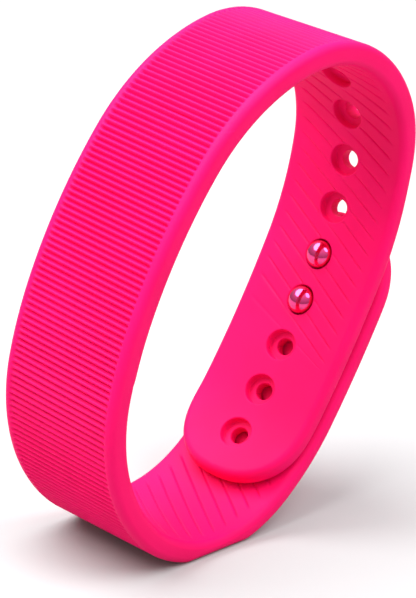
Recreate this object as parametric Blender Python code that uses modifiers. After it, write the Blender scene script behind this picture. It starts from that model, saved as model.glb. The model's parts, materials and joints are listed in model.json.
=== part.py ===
"""Fitness tracker band: a buckled silicone wristband with a tracker capsule in its front.

The closed loop stands on a small flat at its lowest point. +Z is up, the band's width runs
along Y, the ribbed front faces -X and the clasp side faces +X. The origin is the bottom
centre of the bounding box. Lengths are metres, angles degrees.

Two coordinate systems are used besides the world's. On the band a point is (s, y, n): s runs
along the wrist side from the tip of the hole strap, up the clasp side, over the top and down
the front, and n is the height above the wrist side, outwards. In the capsule a point is
(u, y, n), with u along the band from the capsule's middle.
"""
import math

import bmesh
import bpy
from mathutils import Matrix, Vector

# Band section
BAND_WIDTH = 0.020
STRAP_THICKNESS = 0.0026
FRONT_THICKNESS = 0.0032
EDGE_RADIUS = 0.0010
TIP_LENGTH = 0.0097           # length of the rounded end of each strap
TIP_SQUARENESS = 2.3          # 2 is an ellipse, more is squarer

# Wrist side of the loop: length and radius of each arc, from the hole strap's tip
TIP_HEADING = 33.4
TIP_RUN, TIP_RADIUS = 0.0125, 0.0299
CLASP_RUN, CLASP_RADIUS = 0.0206, 0.144
SIDE_RUN, SIDE_RADIUS = 0.0143, 0.0411
TOP_RUN, TOP_RADIUS = 0.0294, 0.0159
SHOULDER_RUN, SHOULDER_RADIUS = 0.0203, 0.0284
FRONT_RUN, FRONT_RADIUS = 0.0205, 0.0684
LOWER_RUN, LOWER_RADIUS = 0.0093, 0.0495
THICKENING = (0.0015, 0.0130)   # past the upper flex, where the strap grows to the front's thickness
THINNING = (0.0294, 0.0134)     # before the lower flex, where it shrinks back
FOOT_SINK = 0.0007              # how much of the lowest bend the flat foot takes off
STATION = 0.0021                # spacing of the cross-sections

# Clasp
CLASP_GAP = 0.0003              # between the two straps
OVERLAP_START = 0.0025          # s where the peg strap starts to follow the hole strap
PEG_STRAP_END = 0.0059          # from the last peg to the peg strap's tip
LOWER_HINGE = 0.0065            # s where the peg strap flexes
HOLE_COUNT = 9
FIRST_HOLE = 0.0062
HOLE_PITCH = 0.0067
HOLE_DIAMETER = 0.0023
RECESS_DIAMETER = 0.0042
RECESS_DEPTH = 0.0011
HOLE_SPREAD = 1.15              # free holes and recesses are this much wider across the band
DRILL_START = 0.0010            # how far outside the wrist side a hole's cutter starts
PEGGED_HOLES = (3, 4)
FLEX_AFTER_HOLE = 5             # the hole strap flexes between this hole and the next
HINGE_GAP = 0.0003
HEAD_DIAMETER = 0.0039
HEAD_HEIGHT = 0.0021
HEAD_LIFT = 0.00035             # between the head and the floor of its recess
NECK_DIAMETER = 0.0018
SHANK_DIAMETER = 0.0020
PEG_CLEARANCE = 0.0003
HEAD_PASSAGE = 0.0006           # room round the head where it leaves its hole
LIP_CLEARANCE = 0.0002
PLATE_END = 0.0037              # from each peg to the plate's end
PLATE_WIDTH = 0.0080
PLATE_THICKNESS = 0.0011
PLATE_RECESS = 0.0006
PLATE_CLEARANCE = 0.0002
PLATE_EDGE = 0.0003

# Tracker capsule and its pocket
CAPSULE_DROP = 0.0169           # from the shoulder's end to the capsule's middle
CAPSULE_LENGTH = 0.0300
CAPSULE_WIDTH = 0.0120
CAPSULE_CORNER = 0.0045
CAPSULE_EDGE = 0.0007
CAPSULE_WALL = 0.0008
BASE_FLOOR = 0.0014            # the steel back is thicker than its sides
SKIN = 0.00115                  # silicone left outside the capsule
POCKET_CLEARANCE = 0.00025
COLLAR_WALL = 0.0011
CAPSULE_PROUD = 0.0011          # how far its back stands out of the collar
COLLAR_EDGE = 0.0005
COVER_DEPTH = 0.0024
GASKET_THICKNESS = 0.0004
GASKET_WIDTH = 0.0005
JOINT_GAP = 0.0001
BOARD_THICKNESS = 0.0005
CHIP_HEIGHT = 0.00065
BATTERY_THICKNESS = 0.0017
BATTERY_GAP = 0.00155           # for the lamp, between the battery and the motor
BATTERY_CORNER = 0.0022
BATTERY_EDGE = 0.0002
LEAD_ROOM = 0.00115             # between the battery and the capsule's end
PAD_SHARE = 0.8                 # of the battery's length and width
PAD_THICKNESS = 0.0002
INNER_CLEARANCE = 0.0004
STACK_CLEARANCE = 0.00015
MOTOR_ROOM = 0.0012             # between the motor and the capsule's end
MOTOR_DIAMETER = 0.0080
MOTOR_HEIGHT = 0.0024
MOTOR_WALL = 0.0003
ROTOR_THICKNESS = 0.0011
SHAFT_DIAMETER = 0.0008
CONTACT_DIAMETER = 0.0016
CONTACT_SPACING = 0.0040
CONTACT_PROUD = 0.0001
LEAD_DIAMETER = 0.0005
LEAD_SPACING = 0.0040
LEAD_BEND = 2.2                 # how sharply a lead turns from the battery's end

# Components on the board: length, width, height, place u, place y
RADIO_CHIP = (0.0050, 0.0050, CHIP_HEIGHT, 0.0068, 0.0)
MOTION_SENSOR = (0.0025, 0.0030, CHIP_HEIGHT, 0.0018, -0.0022)
POWER_CHIP = (0.0024, 0.0024, CHIP_HEIGHT * 0.8, 0.0018, 0.0022)
MEMORY_CHIP = (0.0030, 0.0020, CHIP_HEIGHT * 0.8, -0.0018, 0.0026)
CLOCK_CRYSTAL = (0.0020, 0.0016, CHIP_HEIGHT * 0.8, -0.0018, -0.0026)
CHIP_ANTENNA = (0.0016, 0.0032, CHIP_HEIGHT, 0.0108, 0.0)
STATUS_LAMP = (0.0008, 0.0016, CHIP_HEIGHT * 0.9)
CHIP_EDGE = 0.0001

SILICONE = ("silicone", (0.82, 0.003, 0.16, 1), 0.5, 0.0)
STEEL = ("steel", (0.60, 0.58, 0.60, 1), 0.18, 1.0)
SHELL = ("capsule_shell", (0.02, 0.02, 0.022, 1), 0.45, 0.0)
GASKET = ("gasket", (0.01, 0.01, 0.01, 1), 0.7, 0.0)
BOARD = ("board", (0.01, 0.10, 0.05, 1), 0.4, 0.0)
CHIP = ("chip", (0.015, 0.015, 0.017, 1), 0.5, 0.0)
CERAMIC = ("ceramic", (0.65, 0.6, 0.5, 1), 0.4, 0.0)
FOIL = ("foil", (0.55, 0.55, 0.57, 1), 0.35, 1.0)
FOAM = ("foam", (0.05, 0.05, 0.05, 1), 0.9, 0.0)
GOLD = ("gold", (0.80, 0.55, 0.20, 1), 0.25, 1.0)
LED = ("led", (0.85, 0.82, 0.55, 1), 0.3, 0.0)
TUNGSTEN = ("tungsten", (0.25, 0.25, 0.26, 1), 0.4, 1.0)
RED_WIRE = ("red_wire", (0.6, 0.01, 0.01, 1), 0.45, 0.0)
BLACK_WIRE = ("black_wire", (0.01, 0.01, 0.01, 1), 0.45, 0.0)

for old in list(bpy.data.objects):
    bpy.data.objects.remove(old, do_unlink=True)
parts = bpy.data.collections.new("fitness_tracker_band")
bpy.context.scene.collection.children.link(parts)


# ---- Path of the band -------------------------------------------------------------------

def advance(pose, length, bend):
    """The pose (x, z, heading) after a length of an arc of curvature bend."""
    x, z, heading = pose
    end = heading + bend * length
    x += (math.sin(end) - math.sin(heading)) / bend
    z -= (math.cos(end) - math.cos(heading)) / bend
    return x, z, end


def offset(pose, distance):
    """The pose moved outwards, to the right of its heading."""
    x, z, heading = pose
    return x + distance * math.sin(heading), z - distance * math.cos(heading), heading


def arc_to(pose, point):
    """Length and bend of the arc that leaves a pose and ends at a point."""
    x, z, heading = pose
    across, up = point[0] - x, point[1] - z
    chord = math.hypot(across, up)
    half_turn = (math.atan2(up, across) - heading + math.pi) % (2 * math.pi) - math.pi
    bend = 2 * math.sin(half_turn) / chord
    return 2 * half_turn / bend, bend


def two_arcs(start, goal):
    """The two tangent arcs of equal control length that join two poses."""
    across = Vector((goal[0] - start[0], goal[1] - start[1]))
    leave = Vector((math.cos(start[2]), math.sin(start[2])))
    arrive = Vector((math.cos(goal[2]), math.sin(goal[2])))
    slope = across.dot(leave + arrive)
    turn = 2 * (1 - leave.dot(arrive))
    reach = (-slope + math.sqrt(slope ** 2 + turn * across.length_squared)) / turn
    middle = (start[0] + goal[0] + reach * (leave[0] - arrive[0])) / 2, \
             (start[1] + goal[1] + reach * (leave[1] - arrive[1])) / 2
    first = arc_to(start, middle)
    return first, arc_to(advance(start, *first), goal[:2])


class Path:
    """A chain of tangent arcs in the XZ plane."""

    def __init__(self, start):
        self.arcs = []
        self.end = start
        self.length = 0.0

    def add(self, length, bend):
        self.arcs.append((self.length, bend, self.end))
        self.end = advance(self.end, length, bend)
        self.length += length

    def pose(self, s):
        first, bend, start = [arc for arc in self.arcs if arc[0] <= max(s, 0.0)][-1]
        return advance(start, s - first, bend) if s != first else start

    def point(self, s, y, n):
        x, z, _ = offset(self.pose(s), n)
        return Vector((x, y, z))


OUTSIDE = STRAP_THICKNESS + CLASP_GAP     # n of the peg strap's wrist side
PLATE_LOW = OUTSIDE + STRAP_THICKNESS - PLATE_RECESS + JOINT_GAP
UPPER_FLEX = FIRST_HOLE + (FLEX_AFTER_HOLE + 0.5) * HOLE_PITCH
hole_places = [FIRST_HOLE + i * HOLE_PITCH for i in range(HOLE_COUNT)]
first_peg, last_peg = hole_places[PEGGED_HOLES[0]], hole_places[PEGGED_HOLES[-1]]
PEG_STRAP_TIP = last_peg + PEG_STRAP_END
CAPSULE_PLACE = TIP_RUN + CLASP_RUN + SIDE_RUN + TOP_RUN + SHOULDER_RUN + CAPSULE_DROP


def lay_band(x, z):
    """The wrist side of the whole band, from a place for the hole strap's tip."""
    path = Path((x, z, math.radians(TIP_HEADING)))
    for length, radius in ((TIP_RUN, TIP_RADIUS), (CLASP_RUN, CLASP_RADIUS),
                           (SIDE_RUN, SIDE_RADIUS), (TOP_RUN, TOP_RADIUS),
                           (SHOULDER_RUN, SHOULDER_RADIUS), (FRONT_RUN, FRONT_RADIUS),
                           (LOWER_RUN, LOWER_RADIUS)):
        path.add(length, 1 / radius)
    for length, bend in two_arcs(path.end, offset(path.pose(OVERLAP_START), OUTSIDE)):
        path.add(length, bend)
    parallel = TIP_RADIUS + OUTSIDE
    path.add((LOWER_HINGE - OVERLAP_START) * parallel / TIP_RADIUS, 1 / parallel)
    return path


def smooth(low, high, value):
    share = min(max((value - low) / (high - low), 0.0), 1.0)
    return share * share * (3 - 2 * share)


def thickness(s):
    grown = smooth(UPPER_FLEX + THICKENING[0], UPPER_FLEX + THICKENING[1], s) - \
        smooth(BAND_LENGTH - THINNING[0], BAND_LENGTH - THINNING[1], s)
    return STRAP_THICKNESS + grown * (FRONT_THICKNESS - STRAP_THICKNESS)


def outer_points(path):
    """Points all along the outside: the band's, then the clasp plate's over the straps."""
    count = int(path.length / STATION) * 8
    stops = [path.length * i / count for i in range(count + 1)]
    plate = [s for s in stops if first_peg - PLATE_END <= s <= last_peg + PLATE_END]
    strap = [s for s in stops if LOWER_HINGE <= s <= PEG_STRAP_TIP - EDGE_RADIUS]
    return [path.point(s, 0, thickness(s)) for s in stops] + \
           [path.point(s, 0, PLATE_LOW + PLATE_THICKNESS) for s in plate] + \
           [path.point(s, 0, OUTSIDE + STRAP_THICKNESS) for s in strap]


BAND_LENGTH = lay_band(0.0, 0.0).length
trial = outer_points(lay_band(0.0, 0.0))
left, right = min(p.x for p in trial), max(p.x for p in trial)
lowest = min(p.z for p in trial)
band = lay_band(-(left + right) / 2, -lowest - FOOT_SINK)


# ---- Mesh tools -------------------------------------------------------------------------

def material(finish):
    name, colour, roughness, metallic = finish
    made = bpy.data.materials.get(name)
    if made is None:
        made = bpy.data.materials.new(name)
        made.use_nodes = True
        shader = made.node_tree.nodes["Principled BSDF"]
        shader.inputs["Base Color"].default_value = colour
        shader.inputs["Roughness"].default_value = roughness
        shader.inputs["Metallic"].default_value = metallic
        made.diffuse_color = colour
    return made


def new_object(name, bm, finish):
    mesh = bpy.data.meshes.new(name)
    bm.to_mesh(mesh)
    bm.free()
    piece = bpy.data.objects.new(name, mesh)
    piece.data.materials.append(material(finish))
    parts.objects.link(piece)
    return piece


def combine(piece, tool, operation="DIFFERENCE"):
    """Apply a Boolean with a tool object, and remove the tool."""
    modifier = piece.modifiers.new("cut", "BOOLEAN")
    modifier.operation = operation
    modifier.solver = "EXACT"
    modifier.object = tool
    graph = bpy.context.evaluated_depsgraph_get()
    mesh = bpy.data.meshes.new_from_object(piece.evaluated_get(graph))
    piece.modifiers.clear()
    mesh.name = piece.name
    piece.data = mesh
    bpy.data.objects.remove(tool, do_unlink=True)


def rounded_box(length, width, corner):
    """Outline of a rectangle with round corners, centred, anticlockwise."""
    corner = min(corner, length / 2, width / 2)
    steps = 6
    points = []
    for quarter, (side, end) in enumerate(((1, 1), (-1, 1), (-1, -1), (1, -1))):
        for i in range(steps + 1):
            angle = math.pi / 2 * (quarter + i / steps)
            points.append((side * (length / 2 - corner) + corner * math.cos(angle),
                           end * (width / 2 - corner) + corner * math.sin(angle)))
    return points


def strap_outline(square_end, tip):
    """Plan of a strap with one square end and one rounded tip, anticlockwise."""
    half = BAND_WIDTH / 2
    reach = math.copysign(TIP_LENGTH, tip - square_end)
    steps = 18
    power = 2 / TIP_SQUARENESS
    points = []
    for i in range(steps + 1):
        angle = math.pi * (i / steps - 0.5)
        y = half * math.copysign(abs(math.sin(angle)) ** power, angle)
        points.append((tip - reach + reach * max(math.cos(angle), 0.0) ** power, y))
    points += [(square_end, half), (square_end, -half)]
    return points if reach > 0 else points[::-1]


def slab(outline, low, high, edge=0.0, square_at=(), segments=3):
    """A flat plate with rounded rims, save along the lines s = square_at."""
    bm = bmesh.new()
    bottom = bm.faces.new([bm.verts.new((s, y, low)) for s, y in outline])
    grown = bmesh.ops.extrude_face_region(bm, geom=[bottom])["geom"]
    top = [item for item in grown if isinstance(item, bmesh.types.BMVert)]
    bmesh.ops.translate(bm, verts=top, vec=(0, 0, high - low))
    bmesh.ops.remove_doubles(bm, verts=bm.verts, dist=1e-7)
    bmesh.ops.recalc_face_normals(bm, faces=bm.faces)

    def rim(e):
        a, b = e.verts[0].co, e.verts[1].co
        level = abs(a.z - b.z) < 1e-7
        square = any(abs(a.x - s) < 1e-7 and abs(b.x - s) < 1e-7 for s in square_at)
        return level and not square

    if edge:
        bmesh.ops.bevel(bm, geom=[e for e in bm.edges if rim(e)], offset=edge, segments=segments,
                        profile=0.5, affect="EDGES", material=-1, clamp_overlap=True)
    return bm


def slice_up(bm, spacing):
    """Cut a flat mesh across at even stations, so that it can bend."""
    first, last = min(v.co.x for v in bm.verts), max(v.co.x for v in bm.verts)
    count = max(1, round((last - first) / spacing))
    for i in range(1, count):
        bmesh.ops.bisect_plane(bm, geom=bm.verts[:] + bm.edges[:] + bm.faces[:], dist=1e-7,
                               plane_co=(first + (last - first) * i / count, 0, 0),
                               plane_no=(1, 0, 0))
    bmesh.ops.triangulate(bm, faces=bm.faces)


def bend(piece_or_bm, place, spacing=STATION):
    """Slice a flat mesh and send each vertex (s, y, n) to its place in the world."""
    bm = piece_or_bm
    if isinstance(bm, bpy.types.Object):
        bm = bmesh.new()
        bm.from_mesh(piece_or_bm.data)
    slice_up(bm, spacing)
    for v in bm.verts:
        v.co = place(*v.co)
    bmesh.ops.reverse_faces(bm, faces=bm.faces)
    if isinstance(piece_or_bm, bpy.types.Object):
        bm.to_mesh(piece_or_bm.data)
        bm.free()


def post(radius, low, high, s=0.0, y=0.0, sides=20):
    """A plain cylinder standing along n."""
    bm = bmesh.new()
    bmesh.ops.create_cone(bm, cap_ends=True, segments=sides, radius1=radius, radius2=radius,
                          depth=high - low, matrix=Matrix.Translation((s, y, (low + high) / 2)))
    return bm


def frame_at(s):
    """World matrix on the band at s: X along the band, Z outwards."""
    x, z, heading = band.pose(s)
    along = Vector((math.cos(heading), 0, math.sin(heading)))
    out = Vector((math.sin(heading), 0, -math.cos(heading)))
    turn = Matrix((along, out.cross(along), out)).transposed().to_4x4()
    return Matrix.Translation((x, 0, z)) @ turn


def turned(name, profile, place, finish, steps=24):
    """A solid of revolution: a profile (radius, n) from top to bottom, both ends on the axis."""
    mesh = bpy.data.meshes.new(name)
    edges = [(i, i + 1) for i in range(len(profile) - 1)]
    mesh.from_pydata([(r, 0, n) for r, n in profile], edges, [])
    piece = bpy.data.objects.new(name, mesh)
    piece.data.materials.append(material(finish))
    parts.objects.link(piece)
    screw = piece.modifiers.new("turn", "SCREW")
    screw.axis = "Z"
    screw.steps = screw.render_steps = steps
    screw.use_merge_vertices = True
    screw.merge_threshold = 1e-6
    piece.matrix_world = place
    return piece


# ---- Silicone band ----------------------------------------------------------------------

def drill(strap, place, wide=False):
    """One recessed hole, or the wide passage that the pegged holes' stretching lips fill."""
    wall = HEAD_DIAMETER / 2 + HEAD_PASSAGE if wide else HOLE_DIAMETER / 2
    profile = [(0, 2 * FRONT_THICKNESS), (wall, 2 * FRONT_THICKNESS)]
    if wide:
        profile += [(wall, -DRILL_START), (0, -DRILL_START)]
    else:
        lip = RECESS_DIAMETER / 2
        profile += [(wall, RECESS_DEPTH), (lip, RECESS_DEPTH), (lip, -DRILL_START), (0, -DRILL_START)]
    spread = Matrix.Scale(1 if wide else HOLE_SPREAD, 4, (0, 1, 0))
    tool = turned("drill", profile, Matrix.Translation((place, 0, 0)) @ spread, SILICONE, 20)
    combine(strap, tool)


def hole_strap():
    end = UPPER_FLEX - HINGE_GAP / 2
    flat = slab(strap_outline(end, 0.0), 0, STRAP_THICKNESS, EDGE_RADIUS, (end,))
    strap = new_object("hole_strap", flat, SILICONE)
    for i, place in enumerate(hole_places):
        if place < UPPER_FLEX:
            drill(strap, place, wide=i in PEGGED_HOLES)
    bend(strap, band.point)


def peg_strap():
    start = LOWER_HINGE + HINGE_GAP / 2
    top = OUTSIDE + STRAP_THICKNESS
    flat = slab(strap_outline(start, PEG_STRAP_TIP), OUTSIDE, top, EDGE_RADIUS, (start,))
    strap = new_object("peg_strap", flat, SILICONE)
    for i in PEGGED_HOLES:
        radius = SHANK_DIAMETER / 2 + PEG_CLEARANCE
        combine(strap, new_object("drill", post(radius, 0, 2 * top, hole_places[i]), SILICONE))
    recess = slab(plate_outline(PLATE_CLEARANCE), top - PLATE_RECESS, 2 * top)
    combine(strap, new_object("recess", recess, SILICONE))
    bend(strap, band.point)


def front_band():
    start, end = UPPER_FLEX + HINGE_GAP / 2, band.length - HINGE_GAP / 2
    half = BAND_WIDTH / 2
    outline = [(start, -half), (end, -half), (end, half), (start, half)]
    front = new_object("front_band", slab(outline, 0, FRONT_THICKNESS, EDGE_RADIUS, (start, end)), SILICONE)
    for place in hole_places:
        if place > UPPER_FLEX:
            drill(front, place)

    def onto_band(s, y, n):
        spot = band.point(s, y, n * thickness(s) / FRONT_THICKNESS)
        spot.z = max(spot.z, 0.0)
        return spot

    bend(front, onto_band)
    grow = 2 * (POCKET_CLEARANCE + COLLAR_WALL)
    collar = capsule_slab(grow, CAPSULE_INNER + CAPSULE_PROUD, FRONT_THICKNESS / 2, COLLAR_EDGE)
    combine(front, new_object("collar", collar, SILICONE), "UNION")
    floor = FRONT_THICKNESS - SKIN
    pocket = capsule_slab(2 * POCKET_CLEARANCE, CAPSULE_INNER * 2, floor)
    combine(front, new_object("pocket", pocket, SILICONE))


def hole_lips():
    """The stretching rims of the two holes in use, each its own ring round a peg's neck."""
    outer = HEAD_DIAMETER / 2 + HEAD_PASSAGE - LIP_CLEARANCE
    inner = NECK_DIAMETER / 2 + LIP_CLEARANCE
    low, high = RECESS_DEPTH, STRAP_THICKNESS
    for number, i in enumerate(PEGGED_HOLES, 1):
        ring = new_object(f"hole_lip_{number}", post(outer, low, high), SILICONE)
        combine(ring, new_object("drill", post(inner, 0, 2 * high), SILICONE))
        ring.matrix_world = frame_at(hole_places[i])


# ---- Clasp ------------------------------------------------------------------------------

def plate_outline(grow=0.0):
    length = last_peg - first_peg + 2 * PLATE_END
    outline = rounded_box(length + 2 * grow, PLATE_WIDTH + 2 * grow, PLATE_WIDTH / 2 + grow)
    return [((first_peg + last_peg) / 2 + s, y) for s, y in outline]


def clasp_plate():
    flat = slab(plate_outline(), PLATE_LOW, PLATE_LOW + PLATE_THICKNESS, PLATE_EDGE, segments=2)
    plate = new_object("clasp_plate", flat, STEEL)
    for i in PEGGED_HOLES:
        radius = SHANK_DIAMETER / 2 + JOINT_GAP
        combine(plate, new_object("drill", post(radius, 0, 2 * PLATE_LOW, hole_places[i]), STEEL))
    bend(plate, band.point)


def clasp_pegs():
    """Turned steel pegs, riveted in the plate, with domed heads on the wrist side."""
    head = HEAD_DIAMETER / 2
    under = RECESS_DEPTH - HEAD_LIFT
    rim = under - HEAD_HEIGHT * 0.25
    crown = under - HEAD_HEIGHT
    dome = [(head * math.cos(a), rim + (crown - rim) * math.sin(a))
            for a in (math.radians(step * 18) for step in range(6))]
    dome[-1] = (0, crown)
    top = PLATE_LOW + PLATE_THICKNESS
    profile = [(0, top), (SHANK_DIAMETER / 2, top), (SHANK_DIAMETER / 2, OUTSIDE),
               (NECK_DIAMETER / 2, OUTSIDE - CLASP_GAP), (NECK_DIAMETER / 2, under),
               (head - JOINT_GAP, under)] + dome
    for number, i in enumerate(PEGGED_HOLES, 1):
        turned(f"clasp_peg_{number}", profile, frame_at(hole_places[i]), STEEL)


# ---- Tracker capsule --------------------------------------------------------------------

# The stack from the cover inwards: pad, battery, chips, board and the steel back
CAPSULE_OUTER = FRONT_THICKNESS - SKIN - POCKET_CLEARANCE
CAVITY_TOP = CAPSULE_OUTER - CAPSULE_WALL
BATTERY_TOP = CAVITY_TOP - PAD_THICKNESS - 2 * JOINT_GAP
BATTERY_LOW = BATTERY_TOP - BATTERY_THICKNESS
BOARD_TOP = BATTERY_LOW - STACK_CLEARANCE - CHIP_HEIGHT - JOINT_GAP
BOARD_LOW = BOARD_TOP - BOARD_THICKNESS
CAPSULE_INNER = BOARD_LOW - JOINT_GAP - BASE_FLOOR
COVER_RIM = CAPSULE_OUTER - COVER_DEPTH
BASE_RIM = COVER_RIM - GASKET_THICKNESS - 2 * JOINT_GAP

# Along the capsule: the motor at the upper end, the lamp, the battery and its leads
CAVITY_END = CAPSULE_LENGTH / 2 - CAPSULE_WALL
CAVITY_SIDE = CAPSULE_WIDTH / 2 - CAPSULE_WALL
MOTOR_PLACE = MOTOR_ROOM + MOTOR_DIAMETER / 2 - CAVITY_END
BATTERY_START = MOTOR_PLACE + MOTOR_DIAMETER / 2 + BATTERY_GAP
BATTERY_END = CAVITY_END - LEAD_ROOM


SETTLING = 6                    # rounds that find a capsule point's s on the band


def in_capsule(u, y, n):
    """A capsule point: only its height follows the band's curve, so the walls stay straight."""
    middle = band.pose(CAPSULE_PLACE)
    along = Vector((math.cos(middle[2]), math.sin(middle[2])))
    out = Vector((along[1], -along[0]))
    s = CAPSULE_PLACE + u
    for _ in range(SETTLING):
        x, z, heading = band.pose(s)
        away = Vector((x - middle[0], z - middle[1]))
        s += (u - away.dot(along)) / math.cos(heading - middle[2])
    spot = Vector(middle[:2]) + along * u + out * (n + away.dot(out))
    return Vector((spot[0], y, spot[1]))


def capsule_slab(grow, low, high, edge=0.0):
    """A plate of the capsule's outline, grown all round, bent with the band."""
    outline = rounded_box(CAPSULE_LENGTH + grow, CAPSULE_WIDTH + grow, CAPSULE_CORNER + grow / 2)
    bm = slab(outline, low, high)
    rims = [e for e in bm.edges if all(abs(v.co.z - low) < 1e-7 for v in e.verts)]
    if edge:
        bmesh.ops.bevel(bm, geom=rims, offset=edge, segments=3, profile=0.5, affect="EDGES",
                        material=-1, clamp_overlap=True)
    bend(bm, in_capsule)
    return bm


def block(name, length, width, low, high, u, y, finish, corner=0.0, edge=0.0):
    """A flat component in the capsule, bent with it."""
    l, w = length / 2, width / 2
    outline = rounded_box(length, width, corner) if corner else [(-l, -w), (l, -w), (l, w), (-l, w)]
    bm = slab([(u + a, y + b) for a, b in outline], low, high, edge, segments=1)
    bend(bm, in_capsule)
    return new_object(name, bm, finish)


def capsule_shells():
    inside = -2 * CAPSULE_WALL
    cover = new_object("capsule_cover", capsule_slab(0, COVER_RIM, CAPSULE_OUTER), SHELL)
    combine(cover, new_object("hollow", capsule_slab(inside, COVER_RIM * 2, CAVITY_TOP), SHELL))
    base = new_object("capsule_base", capsule_slab(0, CAPSULE_INNER, BASE_RIM, CAPSULE_EDGE), STEEL)
    hollow = capsule_slab(inside, CAPSULE_INNER + BASE_FLOOR, CAVITY_TOP)
    combine(base, new_object("hollow", hollow, SHELL))
    for u in contact_places():
        tool = post(CONTACT_DIAMETER / 2 + JOINT_GAP, CAPSULE_INNER * 2, BOARD_LOW)
        tool.transform(frame_at(CAPSULE_PLACE + u))
        combine(base, new_object("drill", tool, SHELL))
    low = BASE_RIM + JOINT_GAP
    gasket = new_object("capsule_gasket", capsule_slab(0, low, low + GASKET_THICKNESS), GASKET)
    combine(gasket, new_object("hollow", capsule_slab(-2 * GASKET_WIDTH, low * 2, 0), GASKET))


def contact_places():
    return [-CONTACT_SPACING, 0.0, CONTACT_SPACING]


def charging_contacts():
    for number, u in enumerate(contact_places(), 1):
        bm = post(CONTACT_DIAMETER / 2, CAPSULE_INNER - CONTACT_PROUD, BOARD_LOW - JOINT_GAP)
        pin = new_object(f"charging_contact_{number}", bm, GOLD)
        pin.matrix_world = frame_at(CAPSULE_PLACE + u)


def battery():
    middle = (BATTERY_START + BATTERY_END) / 2
    length = BATTERY_END - BATTERY_START
    width = 2 * (CAVITY_SIDE - 1.5 * INNER_CLEARANCE)
    low = BATTERY_TOP + JOINT_GAP
    block("battery_pad", length * PAD_SHARE, width * PAD_SHARE, low, low + PAD_THICKNESS, middle, 0, FOAM)
    block("battery_cell", length, width, BATTERY_LOW, BATTERY_TOP, middle, 0, FOIL,
          corner=BATTERY_CORNER, edge=BATTERY_EDGE)
    level = (BATTERY_TOP + BATTERY_LOW) / 2
    for name, side, finish in (("positive", 1, RED_WIRE), ("negative", -1, BLACK_WIRE)):
        wire = bpy.data.curves.new(f"battery_lead_{name}", "CURVE")
        wire.dimensions = "3D"
        wire.bevel_depth = LEAD_DIAMETER / 2
        wire.bevel_resolution = 2
        wire.use_fill_caps = True
        route = wire.splines.new("POLY")
        drop = level - BOARD_TOP - JOINT_GAP
        steps = 8
        route.points.add(steps)
        for i, point in enumerate(route.points):
            share = i / steps
            u = BATTERY_END + 2 * JOINT_GAP + LEAD_DIAMETER * math.sin(min(share * LEAD_BEND, math.pi / 2))
            n = level - drop * smooth(0.05, 1.0, share)
            point.co = (*in_capsule(u, side * LEAD_SPACING / 2, n), 1)
        lead = bpy.data.objects.new(f"battery_lead_{name}", wire)
        lead.data.materials.append(material(finish))
        parts.objects.link(lead)


def circuit():
    block("circuit_board", 2 * (CAVITY_END - INNER_CLEARANCE), 2 * (CAVITY_SIDE - INNER_CLEARANCE),
          BOARD_LOW, BOARD_TOP, 0, 0, BOARD, corner=CAPSULE_CORNER - CAPSULE_WALL)
    low = BOARD_TOP + JOINT_GAP
    lamp = BATTERY_START - BATTERY_GAP / 2
    for name, sizes, finish in (("radio_chip", RADIO_CHIP, CHIP),
                                ("motion_sensor", MOTION_SENSOR, CHIP),
                                ("power_chip", POWER_CHIP, CHIP),
                                ("memory_chip", MEMORY_CHIP, CHIP),
                                ("clock_crystal", CLOCK_CRYSTAL, FOIL),
                                ("chip_antenna", CHIP_ANTENNA, CERAMIC),
                                ("status_led", (*STATUS_LAMP, lamp, 0.0), LED)):
        length, width, height, u, y = sizes
        block(name, length, width, low, low + height, u, y, finish, edge=CHIP_EDGE)


def vibration_motor():
    """A coin motor: can, lid with its shaft, and an off-centre rotor that turns on it."""
    place = frame_at(CAPSULE_PLACE + MOTOR_PLACE)
    radius = MOTOR_DIAMETER / 2
    top = CAVITY_TOP - 2 * JOINT_GAP
    low = top - MOTOR_HEIGHT
    ceiling = top - MOTOR_WALL
    room = radius - MOTOR_WALL
    can = new_object("motor_can", post(radius, low, top, sides=32), STEEL)
    combine(can, new_object("hollow", post(room, low - top, ceiling, sides=32), STEEL))
    shaft_top = ceiling - JOINT_GAP
    lid_radius = room - JOINT_GAP
    shaft = SHAFT_DIAMETER / 2
    lid = turned("motor_lid", [(0, shaft_top), (shaft, shaft_top), (shaft, low + MOTOR_WALL),
                               (lid_radius, low + MOTOR_WALL), (lid_radius, low), (0, low)],
                 place, STEEL)
    spare = ceiling - (low + MOTOR_WALL) - ROTOR_THICKNESS
    rotor_low = low + MOTOR_WALL + spare / 2
    reach = room - INNER_CLEARANCE
    disc = post(reach, rotor_low, rotor_low + ROTOR_THICKNESS, sides=32)
    rotor = new_object("motor_rotor", disc, TUNGSTEN)
    half = bmesh.new()
    bmesh.ops.create_cube(half, size=2 * MOTOR_DIAMETER,
                          matrix=Matrix.Translation((MOTOR_DIAMETER, 0, 0)))
    combine(rotor, new_object("half", half, TUNGSTEN))
    hub = post(3 * shaft, rotor_low + JOINT_GAP / 2, rotor_low + ROTOR_THICKNESS - JOINT_GAP / 2)
    combine(rotor, new_object("hub", hub, TUNGSTEN), "UNION")
    combine(rotor, new_object("drill", post(shaft + JOINT_GAP, low, top), TUNGSTEN))
    for piece in (can, lid, rotor):
        piece.matrix_world = place


def hang(name, matrix, pieces):
    """An empty on a joint's axis that carries the pieces of a moving body."""
    pivot = bpy.data.objects.new(name, None)
    pivot.matrix_world = matrix
    parts.objects.link(pivot)
    bpy.context.view_layer.update()
    for piece in pieces:
        placed = bpy.data.objects[piece].matrix_world.copy()
        bpy.data.objects[piece].parent = pivot
        bpy.data.objects[piece].matrix_parent_inverse = pivot.matrix_world.inverted()
        bpy.data.objects[piece].matrix_world = placed


hole_strap()
peg_strap()
front_band()
hole_lips()
clasp_plate()
clasp_pegs()
capsule_shells()
charging_contacts()
battery()
circuit()
vibration_motor()

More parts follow.
